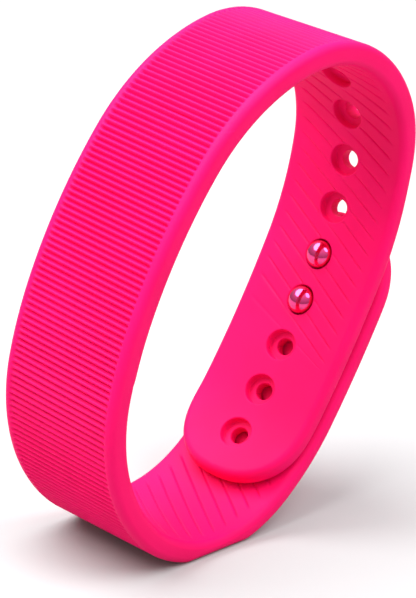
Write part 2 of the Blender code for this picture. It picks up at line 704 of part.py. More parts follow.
upper_pivot = Matrix.Translation(band.point(UPPER_FLEX, 0, 0))
lower_pivot = Matrix.Translation(band.point(band.length, 0, STRAP_THICKNESS))
hang("hole_strap_pivot", upper_pivot, ("hole_strap", "hole_lip_1", "hole_lip_2"))
hang("peg_strap_pivot", lower_pivot, ("peg_strap", "clasp_plate", "clasp_peg_1", "clasp_peg_2"))
hang("capsule_slide", frame_at(CAPSULE_PLACE),
     ("capsule_cover", "capsule_base", "capsule_gasket", "charging_contact_1", "charging_contact_2",
      "charging_contact_3", "battery_pad", "battery_cell", "battery_lead_positive",
      "battery_lead_negative", "circuit_board", "radio_chip", "motion_sensor", "power_chip",
      "memory_chip", "clock_crystal", "chip_antenna", "status_led", "motor_can", "motor_lid",
      "motor_rotor"))
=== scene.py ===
import json
import math

import bmesh
import bpy
import numpy as np
from mathutils import Matrix, Vector


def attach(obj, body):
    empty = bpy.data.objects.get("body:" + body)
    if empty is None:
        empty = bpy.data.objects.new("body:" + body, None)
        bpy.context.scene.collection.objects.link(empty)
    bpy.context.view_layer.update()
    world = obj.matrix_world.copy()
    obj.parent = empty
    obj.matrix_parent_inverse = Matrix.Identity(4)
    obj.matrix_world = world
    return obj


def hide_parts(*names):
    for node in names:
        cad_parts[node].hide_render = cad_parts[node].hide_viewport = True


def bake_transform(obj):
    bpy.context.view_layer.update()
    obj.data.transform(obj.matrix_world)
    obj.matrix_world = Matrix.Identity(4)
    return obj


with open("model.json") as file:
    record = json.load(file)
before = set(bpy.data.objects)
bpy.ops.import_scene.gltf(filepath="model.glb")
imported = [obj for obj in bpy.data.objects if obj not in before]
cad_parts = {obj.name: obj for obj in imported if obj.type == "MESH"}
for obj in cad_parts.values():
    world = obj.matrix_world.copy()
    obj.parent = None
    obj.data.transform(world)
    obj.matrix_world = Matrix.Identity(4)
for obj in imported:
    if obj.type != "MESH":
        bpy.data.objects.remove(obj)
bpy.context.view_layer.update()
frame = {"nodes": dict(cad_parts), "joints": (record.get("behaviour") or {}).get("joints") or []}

# ==== Path of the moulding ===============================================================
# The silicone is moulded as one ring of tangent arcs, buckled on itself at the clasp.
# A point on it is (s, y, n): s along the wrist side from the tip of the strap with holes,
# y across and n outwards. Lengths are metres.

MM = 0.001
BAND_WIDTH = 20 * MM
STRAP_THICKNESS = 2.6 * MM
FRONT_THICKNESS = 3.2 * MM
CLASP_GAP = 0.3 * MM
OUTSIDE = STRAP_THICKNESS + CLASP_GAP
TIP_HEADING = math.radians(33.4)
ARCS = ((12.5, 29.9), (20.6, 144), (14.3, 41.1), (29.4, 15.9),     # run and radius in mm
        (20.3, 28.4), (20.5, 68.4), (9.3, 49.5))
OVERLAP_START = 2.5 * MM
LOWER_HINGE = 6.5 * MM
FIRST_HOLE = 6.2 * MM
HOLE_PITCH = 6.7 * MM
HOLE_COUNT = 9
HOLES = [FIRST_HOLE + i * HOLE_PITCH for i in range(HOLE_COUNT)]
PEGS = HOLES[3:5]
UPPER_FLEX = HOLES[5] + HOLE_PITCH / 2


def advance(pose, length, bend):
    x, z, heading = pose
    end = heading + bend * length
    return (x + (math.sin(end) - math.sin(heading)) / bend,
            z - (math.cos(end) - math.cos(heading)) / bend, end)


def offset(pose, distance):
    x, z, heading = pose
    return x + distance * math.sin(heading), z - distance * math.cos(heading), heading


def arc_to(pose, point):
    """Length and bend of the arc that leaves a pose and ends at a point."""
    across, up = point[0] - pose[0], point[1] - pose[1]
    half_turn = (math.atan2(up, across) - pose[2] + math.pi) % (2 * math.pi) - math.pi
    bend = 2 * math.sin(half_turn) / math.hypot(across, up)
    return 2 * half_turn / bend, bend


def ring_path(start):
    """The moulding's arcs as (first s, bend, pose), and its whole length."""
    runs = [(run * MM, 1 / (radius * MM)) for run, radius in ARCS]
    pose = start
    for run in runs:
        pose = advance(pose, *run)
    first_radius = ARCS[0][1] * MM
    goal = offset(advance(start, OVERLAP_START, 1 / first_radius), OUTSIDE)
    across = Vector((goal[0] - pose[0], goal[1] - pose[1]))
    leave = Vector((math.cos(pose[2]), math.sin(pose[2])))
    arrive = Vector((math.cos(goal[2]), math.sin(goal[2])))
    slope = across.dot(leave + arrive)
    turn = 2 * (1 - leave.dot(arrive))
    reach = (-slope + math.sqrt(slope ** 2 + turn * across.length_squared)) / turn
    middle = ((pose[0] + goal[0] + reach * (leave[0] - arrive[0])) / 2,
              (pose[1] + goal[1] + reach * (leave[1] - arrive[1])) / 2)
    runs.append(arc_to(pose, middle))
    runs.append(arc_to(advance(pose, *runs[-1]), goal[:2]))
    beside = first_radius + OUTSIDE
    runs.append(((LOWER_HINGE - OVERLAP_START) * beside / first_radius, 1 / beside))
    arcs, pose, length = [], start, 0.0
    for run in runs:
        arcs.append((length, run[1], pose))
        pose = advance(pose, *run)
        length += run[0]
    return arcs, length


def pose_at(s):
    first, bend, start = [arc for arc in arcs if arc[0] <= max(s, 0.0)][-1]
    return advance(start, s - first, bend) if s != first else start


joints = {joint["name"]: joint for joint in frame["joints"]}
arcs, ring_length = ring_path((0.0, 0.0, TIP_HEADING))
flex = joints["hole_strap_flex"]["pos_m"]
there = pose_at(UPPER_FLEX)
arcs, ring_length = ring_path((flex[0] - there[0], flex[2] - there[1], TIP_HEADING))


def on_band(points):
    """World places of many (s, y, n), past the ring's end on the strap that lies outside."""
    s, y, n = points.T.copy()
    outer = s > ring_length
    s[outer] += LOWER_HINGE - ring_length
    n[outer] += OUTSIDE
    placed = np.zeros_like(points)
    placed[:, 1] = y
    which = np.searchsorted([arc[0] for arc in arcs], s, side="right").clip(1) - 1
    for i, (first, bend, (x, z, heading)) in enumerate(arcs):
        on = which == i
        turn = heading + bend * (s[on] - first)
        placed[on, 0] = x + (np.sin(turn) - math.sin(heading)) / bend + n[on] * np.sin(turn)
        placed[on, 2] = z - (np.cos(turn) - math.cos(heading)) / bend - n[on] * np.cos(turn)
    return placed


def smooth(low, high, value):
    share = np.clip((value - low) / (high - low), 0.0, 1.0)
    return share * share * (3 - 2 * share)


# ==== Silicone moulding: flat blanks =====================================================
# Pink silicone rubber, compression moulded. Each blank is a flat strip with rounded rims,
# cut into fine stations so that the ribs and grooves of the mould can be pressed into it.

EDGE_RADIUS = 1.0 * MM
TIP_LENGTH = 9.7 * MM
TIP_SQUARENESS = 2.3
STATION = 0.125 * MM
TIP_STATION = 0.75 * MM
COLUMNS = [0, 1.5, 3, 4.5, 6, 7.2, 7.6, 8.0, 8.3, 8.5, 8.7, 8.85]      # in mm across
FLAT = BAND_WIDTH / 2 - EDGE_RADIUS
TINY = 1e-7
NEAR = 1e-6


def tip_points(tip, reach, steps=48):
    half = BAND_WIDTH / 2
    points = []
    for i in range(steps + 1):
        angle = math.pi * (i / steps - 0.5)
        y = half * math.copysign(abs(math.sin(angle)) ** (2 / TIP_SQUARENESS), angle)
        points.append((tip - reach + reach * max(math.cos(angle), 0.0) ** (2 / TIP_SQUARENESS), y))
    return points if reach > 0 else points[::-1]


def plate(outline, low, high, edge=0.0, square_at=(), segments=6):
    """A flat plate with rounded rims, save along the lines x = square_at."""
    bm = bmesh.new()
    bottom = bm.faces.new([bm.verts.new((x, y, low)) for x, y in outline])
    grown = bmesh.ops.extrude_face_region(bm, geom=[bottom])["geom"]
    top = [item for item in grown if isinstance(item, bmesh.types.BMVert)]
    bmesh.ops.translate(bm, verts=top, vec=(0, 0, high - low))
    bmesh.ops.recalc_face_normals(bm, faces=bm.faces)

    def rim(e):
        a, b = e.verts[0].co, e.verts[1].co
        square = any(abs(a.x - x) < TINY and abs(b.x - x) < TINY for x in square_at)
        return abs(a.z - b.z) < TINY and not square

    if edge:
        bmesh.ops.bevel(bm, geom=[e for e in bm.edges if rim(e)], offset=edge, segments=segments,
                        profile=0.5, affect="EDGES", material=-1, clamp_overlap=True)
    return bm


def cross_cut(bm, places, normal):
    for place in places:
        bmesh.ops.bisect_plane(bm, geom=bm.verts[:] + bm.edges[:] + bm.faces[:], dist=TINY,
                               plane_co=Vector(normal) * place, plane_no=normal)


def blank(start, end, fine_start, fine_end):
    """A strip of moulding, with a tip at an end where the fine stations stop short of it."""
    half = BAND_WIDTH / 2
    tips = start < fine_start, end > fine_end
    outline = tip_points(end, TIP_LENGTH) if tips[1] else [(end, -half), (end, half)]
    outline += tip_points(start, -TIP_LENGTH) if tips[0] else [(start, half), (start, -half)]
    square = [place for place, tip in ((start, tips[0]), (end, tips[1])) if not tip]
    bm = plate(outline, 0.0, STRAP_THICKNESS, EDGE_RADIUS, square)
    columns = sorted({sign * column * MM for column in COLUMNS for sign in (-1, 1)})
    cross_cut(bm, columns, (0, 1, 0))
    if tips[0]:
        cross_cut(bm, np.arange(start + TIP_STATION, fine_start + NEAR, TIP_STATION), (1, 0, 0))
    if tips[1]:
        cross_cut(bm, np.arange(fine_end, end, TIP_STATION), (1, 0, 0))
    runs = [e for e in bm.edges if abs(min(v.co.x for v in e.verts) - fine_start) < NEAR
            and abs(max(v.co.x for v in e.verts) - fine_end) < NEAR]
    cuts = round((fine_end - fine_start) / STATION) - 1
    bmesh.ops.subdivide_edges(bm, edges=runs, cuts=cuts, use_grid_fill=True)
    return bm


# ==== Silicone moulding: relief ==========================================================
# The mould presses 0.75 mm ribs across the outside of the front and thin slanting grooves
# into the wrist side. The ribs lean a little along the band, and both stop short of the rims.

RIB_PITCH = 0.75 * MM
RIB_DEPTH = 0.5 * MM
RIBS = (63 * MM, 162 * MM)
RIB_END = (8.3 * MM, 8.85 * MM)
RIB_LEAN = -0.04                # along the band for each step across it
VALLEY_SHARPNESS = 1.3
GROOVE_PITCH = 2.25 * MM
GROOVE_WIDTH = 0.42 * MM
GROOVE_DEPTH = 0.17 * MM
GROOVE_LEAN = 0.54              # at the clasp, and more at the bottom
MORE_LEAN = 0.08
GROOVE_END = (7.4 * MM, 8.0 * MM)
GROOVE_FADE = 3                 # how sharply they fade towards a tip
GROOVE_STOP = 0.5 * MM          # where they fade round a hole
TOP_SEAM = 92.25 * MM
BOTTOM_SEAM = 132 * MM
POCKET_ZONE = (93 * MM, 97 * MM, 131 * MM, 135 * MM)
THICKENING = (1.5 * MM, 13.0 * MM)
THINNING = (29.4 * MM, 13.4 * MM)
RING_RADIUS = 2.35 * MM         # of the turned insert that forms each hole
HOLE_SPREAD = 1.15              # free holes are this much wider across the band
FACING_DOWN = -0.5              # below this, a normal can reach the floor


def thickness(s):
    """Thickness along the band: thin straps, a thicker front, and the flat foot's loss."""
    grown = smooth(UPPER_FLEX + THICKENING[0], UPPER_FLEX + THICKENING[1], s) - \
        smooth(ring_length - THINNING[0], ring_length - THINNING[1], s)
    full = STRAP_THICKNESS + grown * (FRONT_THICKNESS - STRAP_THICKNESS)
    middle = on_band(np.column_stack((s, s * 0, s * 0)))
    outwards = on_band(np.column_stack((s, s * 0, s * 0 + 1.0))) - middle
    to_floor = np.where(outwards[:, 2] < FACING_DOWN, -middle[:, 2] / outwards[:, 2], 1.0)
    return np.minimum(full, to_floor)


def thicken(points):
    """Stretches the flat blank's height to the band's thickness, keeping its round rims."""
    extra = thickness(points[:, 0]) - STRAP_THICKNESS
    share = (points[:, 2] - EDGE_RADIUS) / (STRAP_THICKNESS - 2 * EDGE_RADIUS)
    points[:, 2] += extra * np.clip(share, 0, 1)
    return points


def press(points, plain):
    """Presses the mould's relief into flat blank points; plain is where a tip starts and ends."""
    q, y, n = points.T.copy()
    side = np.abs(y)
    lower = np.arccos(np.clip(1 - n / EDGE_RADIUS, 0, 1)) * EDGE_RADIUS
    upper = np.arcsin(np.clip((n - STRAP_THICKNESS) / EDGE_RADIUS + 1, 0, 1)) * EDGE_RADIUS
    wall = STRAP_THICKNESS - 2 * EDGE_RADIUS
    way = np.clip(side - GROOVE_END[1], 0, FLAT - GROOVE_END[1]) + lower + \
        np.clip(n - EDGE_RADIUS, 0, wall) + upper
    whole = FLAT - GROOVE_END[1] + math.pi * EDGE_RADIUS + wall
    outside = np.where(n > STRAP_THICKNESS - NEAR, 1.0, smooth(0.0, whole, way))
    shaped = smooth(*sorted(plain), q) if plain[0] < plain[1] else 1 - smooth(*sorted(plain), q)
    groove_lean = GROOVE_LEAN + MORE_LEAN * smooth(TOP_SEAM, BOTTOM_SEAM, q)
    points[:, 0] += shaped * (
        (1 - outside) * groove_lean * np.clip(y, -GROOVE_END[1], GROOVE_END[1]) +
        outside * RIB_LEAN * np.clip(y, -FLAT, FLAT))
    thicken(points)
    from_valley = np.abs((q / RIB_PITCH + 0.5) % 1 - 0.5) * RIB_PITCH
    valley = (0.5 + 0.5 * np.cos(2 * math.pi * from_valley / RIB_PITCH)) ** VALLEY_SHARPNESS
    ribbed = (q > RIBS[0] - NEAR) & (q < RIBS[1] + NEAR) & (n > STRAP_THICKNESS - NEAR)
    points[:, 2] -= RIB_DEPTH * valley * ribbed * (1 - smooth(*RIB_END, side))
    from_groove = np.abs((q / GROOVE_PITCH) % 1 - 0.5) * GROOVE_PITCH
    groove = (1 - smooth(0, GROOVE_WIDTH / 2, from_groove)) * (n < NEAR) * shaped ** GROOVE_FADE
    groove *= 1 - smooth(*GROOVE_END, side)
    groove *= 1 - smooth(*POCKET_ZONE[:2], q) + smooth(*POCKET_ZONE[2:], q)
    for hole in HOLES:
        away = np.hypot(points[:, 0] - hole, y / HOLE_SPREAD)
        groove *= smooth(RING_RADIUS, RING_RADIUS + GROOVE_STOP, away)
    points[:, 2] += GROOVE_DEPTH * groove
    return points


def reshape(mesh, shaper, *settings):
    points = np.zeros(len(mesh.vertices) * 3)
    mesh.vertices.foreach_get("co", points)
    mesh.vertices.foreach_set("co", shaper(points.reshape(-1, 3), *settings).ravel())
    mesh.update()


def new_piece(name, bm):
    mesh = bpy.data.meshes.new(name)
    bm.to_mesh(mesh)
    bm.free()
    piece = bpy.data.objects.new(name, mesh)
    bpy.context.scene.collection.objects.link(piece)
    return piece


def combine(piece, tool, operation="DIFFERENCE"):
    """Apply a Boolean with a tool object, and remove the tool."""
    modifier = piece.modifiers.new("cut", "BOOLEAN")
    modifier.operation = operation
    modifier.solver = "EXACT"
    modifier.object = tool
    graph = bpy.context.evaluated_depsgraph_get()
    mesh = bpy.data.meshes.new_from_object(piece.evaluated_get(graph))
    piece.modifiers.clear()
    mesh.name = piece.name
    piece.data = mesh
    bpy.data.objects.remove(tool, do_unlink=True)


def turned(profile, steps=64, closed=False):
    """A bmesh turned about Z from a profile of (radius, height)."""
    bm = bmesh.new()
    verts = [bm.verts.new((r, 0, n)) for r, n in profile]
    ends = verts[1:] + verts[:1] if closed else verts[1:]
    edges = [bm.edges.new(pair) for pair in zip(verts, ends)]
    bmesh.ops.spin(bm, geom=verts + edges, cent=(0, 0, 0), axis=(0, 0, 1), angle=2 * math.pi,
                   steps=steps, use_merge=True)
    bmesh.ops.remove_doubles(bm, verts=bm.verts, dist=TINY)
    bmesh.ops.recalc_face_normals(bm, faces=bm.faces)
    return bm


def rounded(corner, start, end, radius, steps=4):
    """Points of a quarter-circle fillet round a corner's centre, from one angle to another."""
    return [(corner[0] + radius * math.cos(math.radians(start + (end - start) * i / steps)),
             corner[1] + radius * math.sin(math.radians(start + (end - start) * i / steps)))
            for i in range(steps + 1)]


RECESS_RADIUS = 2.1 * MM
RECESS_DEPTH = 1.1 * MM
BORE_RADIUS = 1.15 * MM
LIP = 0.15 * MM                 # rounding of a hole's lips


def hole_insert():
    """The silicone round one hole: a recess on the wrist side and a bore, with soft lips."""
    profile = [(RING_RADIUS, 0.0)]
    profile += rounded((RECESS_RADIUS + LIP, LIP), 270, 180, LIP)
    profile += rounded((RECESS_RADIUS - LIP, RECESS_DEPTH - LIP), 0, 90, LIP)
    profile += rounded((BORE_RADIUS + LIP, RECESS_DEPTH + LIP), 270, 180, LIP)
    profile += rounded((BORE_RADIUS + LIP, STRAP_THICKNESS - LIP), 180, 90, LIP)
    profile += [(RING_RADIUS, STRAP_THICKNESS)]
    return turned(profile, closed=True)


def drilled(piece, holes, pegged):
    """Cuts a place for each hole and sets its turned insert in it, still flat."""
    cutter = bmesh.new()
    places = []
    for hole in holes:
        spread = 1 if hole in pegged else HOLE_SPREAD
        places.append(Matrix.Translation((hole, 0, 0)) @ Matrix.Scale(spread, 4, (0, 1, 0)))
    for place in places:
        bmesh.ops.create_cone(cutter, cap_ends=True, segments=64, radius1=RING_RADIUS,
                              radius2=RING_RADIUS, depth=4 * STRAP_THICKNESS, matrix=place)
    combine(piece, new_piece("cutter", cutter))
    whole = bmesh.new()
    whole.from_mesh(piece.data)
    for place in places:
        insert = new_piece("insert", hole_insert())
        insert.data.transform(place)
        reshape(insert.data, thicken)
        whole.from_mesh(insert.data)
        bpy.data.objects.remove(insert, do_unlink=True)
    whole.to_mesh(piece.data)
    whole.free()


# ==== Silicone moulding: finish ==========================================================
# Silicone comes from a sand-blasted mould: a satin skin with a weak reflection and a very
# fine grain, which is coarser here than the real 0.05 mm.

SILICONE_PINK = "#EA0862"
BUMP_HEIGHT = 0.05 * MM
SOFT_CREASE = 70.0              # degrees
HARD_CREASE = 40.0
END_SIDES = 20                  # a face with more sides is a cut end


def tint(code):
    """Linear RGBA of an sRGB hex colour."""
    parts = [int(code[i:i + 2], 16) / 255 for i in (1, 3, 5)]
    return *[c / 12.92 if c <= 0.04045 else ((c + 0.055) / 1.055) ** 2.4 for c in parts], 1.0


def add(tree, kind, values=(), links=()):
    """Adds a node with its settings and socket values, and links sources to its inputs."""
    made = tree.nodes.new(kind)
    for name, value in dict(values).items():
        if name == "ramp":
            ends = made.color_ramp.elements
            for end, (place, colour) in zip((ends[0], ends[1]), value):
                end.position, end.color = place, colour
        elif name in made.inputs:
            made.inputs[name].default_value = value
        else:
            setattr(made, name, value)
    for name, source in dict(links).items():
        tree.links.new(source, made.inputs[name])
    return made


def finish(name, light, dark, roughness, grain, bump, metallic=0.0, stretch=(1, 1, 1), turn=0.0,
           rough_span=0.06, blotch=4.0, **sockets):
    """A material whose colour drifts between two shades in patches, with a grain in mm."""
    made = bpy.data.materials.new(name)
    made.use_nodes = True
    tree = made.node_tree
    shader = tree.nodes["Principled BSDF"]
    place = add(tree, "ShaderNodeTexCoord").outputs["Object"]
    lay = add(tree, "ShaderNodeMapping", {"Rotation": (0, turn, 0), "Scale": stretch},
              {"Vector": place})
    fine = add(tree, "ShaderNodeTexNoise",
               {"Scale": 1 / (grain * MM), "Detail": 3.0, "Roughness": 0.55},
               {"Vector": lay.outputs["Vector"]})
    patch = add(tree, "ShaderNodeTexNoise", {"Scale": 1 / (blotch * MM), "Detail": 2.0},
                {"Vector": lay.outputs["Vector"]})
    shades = add(tree, "ShaderNodeValToRGB", {"ramp": ((0.3, tint(dark)), (0.7, tint(light)))},
                 {"Fac": patch.outputs["Fac"]})
    gloss = add(tree, "ShaderNodeMapRange",
                {"From Min": 0.3, "From Max": 0.7, "To Min": roughness - rough_span,
                 "To Max": roughness + rough_span}, {"Value": fine.outputs["Fac"]})
    rise = add(tree, "ShaderNodeBump", {"Strength": bump, "Distance": BUMP_HEIGHT},
               {"Height": fine.outputs["Fac"]})
    tree.links.new(shades.outputs["Color"], shader.inputs["Base Color"])
    tree.links.new(gloss.outputs["Result"], shader.inputs["Roughness"])
    tree.links.new(rise.outputs["Normal"], shader.inputs["Normal"])
    shader.inputs["Metallic"].default_value = metallic
    for socket, value in sockets.items():
        shader.inputs[socket.replace("_", " ")].default_value = value
    return made


silicone = finish("moulded_silicone", SILICONE_PINK, "#E4065C", 0.56, 0.16, 0.25, blotch=9.0,
                  IOR=1.41, Specular_IOR_Level=0.12)


def shade(piece, material, crease=SOFT_CREASE, flat_ends=False):
    """Smooth shading with creases, and square cut ends that stay sharp."""
    piece.data.materials.clear()
    piece.data.materials.append(material)
    bm = bmesh.new()
    bm.from_mesh(piece.data)
    for f in bm.faces:
        f.smooth = True
    limit = math.radians(crease)
    for e in bm.edges:
        ends = flat_ends and any(len(f.verts) > END_SIDES for f in e.link_faces)
        e.smooth = not ends and len(e.link_faces) == 2 and e.calc_face_angle(0.0) < limit
    bm.to_mesh(piece.data)
    bm.free()


# ==== Strap with holes and the top of the band ===========================================
# The strap that lies against the wrist under the clasp, with nine recessed holes, and the
# top of the ribbed front that it grows out of. The real strap bends at its upper flex line;
# this piece stays in its rest shape.

FINE_FROM = 14.25 * MM
PLAIN_TIP = (FINE_FROM + 1 * MM, FINE_FROM + 11 * MM)

strap = new_piece("hole_strap_skin", blank(0.0, TOP_SEAM, FINE_FROM, TOP_SEAM))
reshape(strap.data, press, PLAIN_TIP)
drilled(strap, HOLES, PEGS)
reshape(strap.data, on_band)
shade(strap, silicone, flat_ends=True)

# ==== Strap with pegs and the bottom of the band =========================================
# The bottom of the front and the strap that lies outside, with a shallow seat for the
# clasp plate and two bores for its pegs. The real strap bends at its lower flex line; this
# piece stays in its rest shape.

FINE_TO = 184 * MM
PLAIN_END = (FINE_TO + 6 * MM, FINE_TO - 2 * MM)
PEG_STRAP_END = 5.9 * MM
PLATE_END = 3.7 * MM
PLATE_WIDTH = 8.0 * MM
PLATE_THICKNESS = 1.1 * MM
PLATE_RECESS = 0.6 * MM
PLATE_CLEARANCE = 0.2 * MM
SHANK_RADIUS = 1.0 * MM
PEG_CLEARANCE = 0.3 * MM
along_outside = ring_length - LOWER_HINGE


def stadium(length, width, steps=24):
    """Outline of a slot with round ends, centred."""
    radius = width / 2
    points = []
    for side in (1, -1):
        for i in range(steps + 1):
            angle = math.pi * (i / steps - 0.5) + (0 if side > 0 else math.pi)
            points.append((side * (length / 2 - radius) + radius * math.cos(angle),
                           radius * math.sin(angle)))
    return points


def rod(radius, depth, place, segments=48):
    """A bmesh cylinder along Z that bores a round hole."""
    bm = bmesh.new()
    bmesh.ops.create_cone(bm, cap_ends=True, segments=segments, radius1=radius, radius2=radius,
                          depth=depth, matrix=Matrix.Translation(place))
    return bm


bottom = new_piece("peg_strap_skin", blank(BOTTOM_SEAM, along_outside + PEGS[1] + PEG_STRAP_END,
                                           BOTTOM_SEAM, FINE_TO))
reshape(bottom.data, press, PLAIN_END)
plate_length = PEGS[1] - PEGS[0] + 2 * PLATE_END
plate_middle = sum(PEGS) / 2
seat = [(along_outside + plate_middle + x, y) for x, y in
        stadium(plate_length + 2 * PLATE_CLEARANCE, PLATE_WIDTH + 2 * PLATE_CLEARANCE)]
combine(bottom, new_piece("seat", plate(seat, STRAP_THICKNESS - PLATE_RECESS, 2 * STRAP_THICKNESS)))
for peg in PEGS:
    bore = rod(SHANK_RADIUS + PEG_CLEARANCE, 4 * STRAP_THICKNESS, (along_outside + peg, 0, 0))
    combine(bottom, new_piece("bore", bore))
reshape(bottom.data, on_band)
shade(bottom, silicone, flat_ends=True)

# ==== Ribbed front with its pocket =======================================================
# The middle of the front, which carries the tracker capsule in a pocket open to the wrist,
# with a raised collar of silicone that holds it.

CAPSULE_PLACE = 114 * MM
CAPSULE_LENGTH = 30 * MM
CAPSULE_WIDTH = 12 * MM
CAPSULE_CORNER = 4.5 * MM
CAPSULE_OUTER = 1.8 * MM
CAPSULE_INNER = -4.0 * MM
CAPSULE_PROUD = 1.1 * MM
POCKET_CLEARANCE = 0.25 * MM
POCKET_FLOOR = 2.05 * MM
COLLAR_WALL = 1.1 * MM
COLLAR_EDGE = 0.5 * MM
SETTLING = 6                    # rounds that find a capsule point's s
NO_TIP = (0.0, 1.0 * MM)


def in_capsule(points):
    """World places of capsule points (u, y, n), whose walls stay straight on the slide."""
    middle = pose_at(CAPSULE_PLACE)
    along = Vector((math.cos(middle[2]), math.sin(middle[2])))
    out = Vector((along[1], -along[0]))
    placed = np.zeros_like(points)
    for i, (u, y, n) in enumerate(points):
        s = CAPSULE_PLACE + u
        for _ in range(SETTLING):
            x, z, heading = pose_at(s)
            away = Vector((x - middle[0], z - middle[1]))
            s += (u - away.dot(along)) / math.cos(heading - middle[2])
        spot = Vector(middle[:2]) + along * u + out * (n + away.dot(out))
        placed[i] = spot[0], y, spot[1]
    return placed


def rounded_box(length, width, corner, steps=12):
    points = []
    for quarter, (side, end) in enumerate(((1, 1), (-1, 1), (-1, -1), (1, -1))):
        for i in range(steps + 1):
            angle = math.pi / 2 * (quarter + i / steps)
            points.append((side * (length / 2 - corner) + corner * math.cos(angle),
                           end * (width / 2 - corner) + corner * math.sin(angle)))
    return points


def capsule_plate(grow, low, high, edge=0.0, edge_high=False):
    """A plate of the capsule's outline, grown, with one rim rounded, and bent with the band."""
    outline = rounded_box(CAPSULE_LENGTH + grow, CAPSULE_WIDTH + grow, CAPSULE_CORNER + grow / 2)
    bm = plate(outline, low, high)
    if edge:
        level = high if edge_high else low
        rim = [e for e in bm.edges if all(abs(v.co.z - level) < TINY for v in e.verts)]
        bmesh.ops.bevel(bm, geom=rim, offset=edge, segments=5, profile=0.5, affect="EDGES",
                        material=-1, clamp_overlap=True)
    reach = (CAPSULE_LENGTH + grow) / 2
    cross_cut(bm, np.arange(-reach + MM, reach, MM), (1, 0, 0))
    bmesh.ops.triangulate(bm, faces=[f for f in bm.faces if len(f.verts) > 4])
    piece = new_piece("plate", bm)
    reshape(piece.data, in_capsule)
    piece.data.flip_normals()
    return piece


front = new_piece("front_skin", blank(TOP_SEAM, BOTTOM_SEAM, TOP_SEAM, BOTTOM_SEAM))
reshape(front.data, press, NO_TIP)
reshape(front.data, on_band)
combine(front, capsule_plate(2 * (POCKET_CLEARANCE + COLLAR_WALL), CAPSULE_INNER + CAPSULE_PROUD,
                             FRONT_THICKNESS / 2, COLLAR_EDGE), "UNION")
combine(front, capsule_plate(2 * POCKET_CLEARANCE, 2 * CAPSULE_INNER, POCKET_FLOOR))
shade(front, silicone, flat_ends=True)

FLEX_REACH = 9 * MM


def across(joint, angle):
    """Start and end of the stretch that bends at a flex line, along a slanted direction."""
    run = FLEX_REACH * Vector((math.cos(angle), 0, math.sin(angle)))
    middle = Vector(joints[joint]["pos_m"])
    return {"start": tuple(middle - run), "end": tuple(middle + run)}


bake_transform(strap)
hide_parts("hole_strap", "hole_lip_1", "hole_lip_2")
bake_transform(bottom)
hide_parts("peg_strap")
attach(front, "front")
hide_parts("front_band")

# ==== Clasp ==============================================================================
# Two turned, polished steel pegs with domed heads, riveted through a satin anodised
# aluminium plate that lies in the outer strap. The steel's pink tint is a painted
# reflection of the pink band round the domes.

HEAD_RADIUS = 1.95 * MM
HEAD_HEIGHT = 2.1 * MM
HEAD_LIFT = 0.35 * MM
HEAD_EDGE = 0.12 * MM
RIM_SHARE = 0.25                # of the head's height, below its dome
NECK_RADIUS = 0.9 * MM
RIVET_EDGE = 0.12 * MM
JOINT_GAP = 0.1 * MM
PLATE_LOW = OUTSIDE + STRAP_THICKNESS - PLATE_RECESS + JOINT_GAP
PLATE_EDGE = 0.35 * MM

# The steel's pink tint is a painted reflection of the pink band, not a plating.
polished = finish("steel_tinted_as_pink_reflection", "#EE508E", "#E44482", 0.11, 0.3, 0.05, metallic=1.0,
                  rough_span=0.03)
anodised = finish("anodised_aluminium", "#C9C9CE", "#BBBBC1", 0.36, 0.12, 0.15, metallic=1.0)

outline = [(plate_middle + x, y) for x, y in stadium(plate_length, PLATE_WIDTH)]
bm = plate(outline, PLATE_LOW, PLATE_LOW + PLATE_THICKNESS, PLATE_EDGE, segments=4)
cross_cut(bm, np.arange(plate_middle - plate_length / 2 + MM, plate_middle + plate_length / 2, MM),
          (1, 0, 0))
clasp = new_piece("clasp_plate_metal", bm)
for peg in PEGS:
    bore = rod(SHANK_RADIUS + JOINT_GAP, 10 * STRAP_THICKNESS, (peg, 0, 0))
    combine(clasp, new_piece("bore", bore))
reshape(clasp.data, on_band)
shade(clasp, anodised, HARD_CREASE)
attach(clasp, "peg_strap")
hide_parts("clasp_plate")


def stand(s):
    """World matrix on the band at s: X along it and Z outwards."""
    x, z, heading = pose_at(s)
    along = Vector((math.cos(heading), 0, math.sin(heading)))
    out = Vector((math.sin(heading), 0, -math.cos(heading)))
    facing = Matrix((along, out.cross(along), out)).transposed().to_4x4()
    return Matrix.Translation((x, 0, z)) @ facing


under = RECESS_DEPTH - HEAD_LIFT
rim = under - HEAD_HEIGHT * RIM_SHARE
crown = under - HEAD_HEIGHT
dome = [(HEAD_RADIUS * math.cos(math.radians(a)), rim + (crown - rim) * math.sin(math.radians(a)))
        for a in range(0, 91, 6)]
dome[-1] = (0.0, crown)
rivet_top = PLATE_LOW + PLATE_THICKNESS
peg_profile = [(0.0, rivet_top), (SHANK_RADIUS - RIVET_EDGE, rivet_top),
               (SHANK_RADIUS, rivet_top - RIVET_EDGE), (SHANK_RADIUS, OUTSIDE),
               (NECK_RADIUS, STRAP_THICKNESS), (NECK_RADIUS, under),
               (HEAD_RADIUS - HEAD_EDGE, under), (HEAD_RADIUS, under - HEAD_EDGE)] + dome
for number, peg in enumerate(PEGS, 1):
    post = new_piece(f"clasp_peg_{number}_metal", turned(peg_profile, 72))
    post.data.transform(stand(peg))
    shade(post, polished, HARD_CREASE)
    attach(post, "peg_strap")
    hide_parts(f"clasp_peg_{number}")

# ==== Tracker capsule shells =============================================================
# A black polycarbonate cover and a brushed stainless back, pressed together on a soft
# gasket, with three gold-plated charging pins through the back.

CAPSULE_EDGE = 0.7 * MM
COVER_EDGE = 0.4 * MM
CAPSULE_WALL = 0.8 * MM
BASE_FLOOR = 1.4 * MM
COVER_DEPTH = 2.4 * MM
GASKET_THICKNESS = 0.4 * MM
GASKET_WIDTH = 0.5 * MM
CONTACT_RADIUS = 0.8 * MM
CONTACT_SPACING = 4.0 * MM
CONTACT_EDGE = 0.2 * MM

